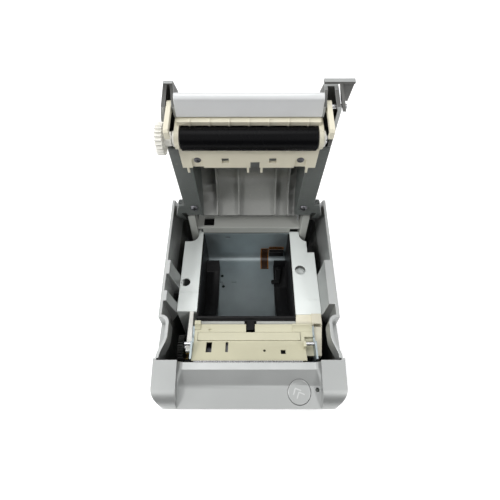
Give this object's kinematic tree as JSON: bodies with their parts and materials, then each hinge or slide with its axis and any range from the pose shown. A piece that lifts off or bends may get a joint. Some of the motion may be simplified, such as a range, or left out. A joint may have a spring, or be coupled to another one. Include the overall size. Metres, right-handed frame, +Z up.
{
  "type": "receipt printer",
  "caption": "Receipt printer with its lid open: roll well with cradles, roller and gear in the lid, print head, tear bar, feed button and sockets at the rear.",
  "frame": {"origin": "on the table, under the middle of the base", "axes": "+X to the printer's right, +Y to its rear, +Z up; the lid stands open, as in the picture"},
  "size_m": [0.145, 0.1926, 0.2633],
  "materials": {
    "silver_case": "fine grained",
    "pale_deck": "satin",
    "dark_liner": "satin",
    "grey_moulding": "satin",
    "bottom_grey": "fine grained",
    "cream": "satin",
    "white_nylon": "satin",
    "black_plastic": "satin",
    "black_rubber": "matt",
    "sheet_steel": "zinc plated",
    "bright_steel": "ground",
    "dark_steel": "satin",
    "brass": "turned",
    "head_metal": "glazed",
    "amber_flex": "glossy film",
    "board_green": "varnished",
    "lamp": "clear dark"
  },
  "bodies": {
    "base": {"base_casing": "silver_case", "front_bezel": "silver_case", "bottom_plate": "bottom_grey", "rubber_feet": "black_rubber", "left_deck": "pale_deck", "right_deck": "pale_deck", "paper_tray": "sheet_steel", "left_roll_guide": "black_plastic", "right_roll_guide": "black_plastic", "roll_crossbar": "black_plastic", "guide_strip": "grey_moulding", "rear_bridge": "grey_moulding", "left_hinge_post": "grey_moulding", "right_hinge_post": "grey_moulding", "hinge_pins": "brass", "mechanism_frame": "sheet_steel", "mechanism_cover": "cream", "right_end_block": "cream", "tear_bar": "sheet_steel", "catch_studs": "bright_steel", "feed_motor": "dark_steel", "idler_stud": "bright_steel", "head_leaf_spring": "sheet_steel", "near_end_sensor": "black_plastic", "sensor_flex": "amber_flex", "gear_guard": "white_nylon", "main_board": "board_green", "rear_panel": "sheet_steel", "usb_socket": "sheet_steel", "drawer_socket": "black_plastic", "serial_socket": "sheet_steel", "power_inlet": "black_plastic", "switch_body": "black_plastic", "front_board": "board_green", "feed_switch": "black_plastic", "status_lamp": "lamp", "base_screws": "bright_steel"},
    "lid": {"lid_cover": "silver_case", "lid_liner": "dark_liner", "roll_hood": "grey_moulding", "front_lip": "pale_deck", "platen_frame": "cream", "platen_bushes": "white_nylon", "lid_screws": "bright_steel", "torsion_spring": "bright_steel"},
    "platen": {"platen_rubber": "black_rubber", "platen_shaft": "bright_steel", "platen_gear": "white_nylon"},
    "latch": {"latch_shaft": "bright_steel", "latch_hooks": "cream", "release_lever": "silver_case"},
    "feed_button": {"feed_button": "silver_case"},
    "power_rocker": {"power_rocker": "black_plastic"},
    "idler": {"idler_gear": "black_plastic"},
    "pinion": {"motor_pinion": "brass", "motor_shaft": "bright_steel"},
    "head": {"thermal_head": "head_metal"},
    "flag": {"paper_flag": "black_plastic"},
    "near_end_lever": {"near_end_lever": "black_plastic"}
  },
  "joints": [
    {"name": "lid_hinge", "type": "hinge", "parent": "base", "child": "lid", "pos_m": [0, 0.07485, 0.126], "axis": [1, 0, 0], "range_deg": [0, 82], "stiffness_Nm_per_rad": 0.15, "springref_deg": -57.3},
    {"name": "platen_spin", "type": "hinge", "parent": "lid", "child": "platen", "pos_m": [0, 0.04031, 0.23526], "axis": [1, 0, 0], "continuous": true},
    {"name": "latch_pivot", "type": "hinge", "parent": "lid", "child": "latch", "pos_m": [0, 0.05342, 0.24972], "axis": [-1, 0, 0], "range_deg": [0, 10], "stiffness_Nm_per_rad": 0.05, "springref_deg": -22.92},
    {"name": "feed_button_press", "type": "slide", "parent": "base", "child": "feed_button", "axis": [0, 0, -1], "range_m": [0, 0.001], "stiffness_N_per_m": 400, "springref_m": -0.0015},
    {"name": "power_rocker_tilt", "type": "hinge", "parent": "base", "child": "power_rocker", "pos_m": [0.03907, 0.08635, 0.0286], "axis": [-1, 0, 0], "range_deg": [0, 16]},
    {"name": "idler_spin", "type": "hinge", "parent": "base", "child": "idler", "pos_m": [-0.05635, -0.04682, 0.08976], "axis": [1, 0, 0], "continuous": true},
    {"name": "pinion_spin", "type": "hinge", "parent": "base", "child": "pinion", "pos_m": [-0.05635, -0.04682, 0.07526], "axis": [1, 0, 0], "continuous": true},
    {"name": "head_pivot", "type": "hinge", "parent": "base", "child": "head", "pos_m": [0, -0.04215, 0.09515], "axis": [-1, 0, 0], "range_deg": [0, 2], "stiffness_Nm_per_rad": 1, "springref_deg": -5.73},
    {"name": "paper_flag_tilt", "type": "hinge", "parent": "base", "child": "flag", "pos_m": [0.00125, -0.02715, 0.088], "axis": [1, 0, 0], "range_deg": [0, 6], "stiffness_Nm_per_rad": 0.002, "springref_deg": -11.46},
    {"name": "near_end_swing", "type": "hinge", "parent": "base", "child": "near_end_lever", "pos_m": [0.031, 0.04935, 0.0567], "axis": [0, 0, 1], "range_deg": [0, 20], "stiffness_Nm_per_rad": 0.002, "springref_deg": -17.19}
  ],
  "couplings": [
    {"joint": "pinion_spin", "follows": "idler_spin", "ratio": -2}
  ]
}
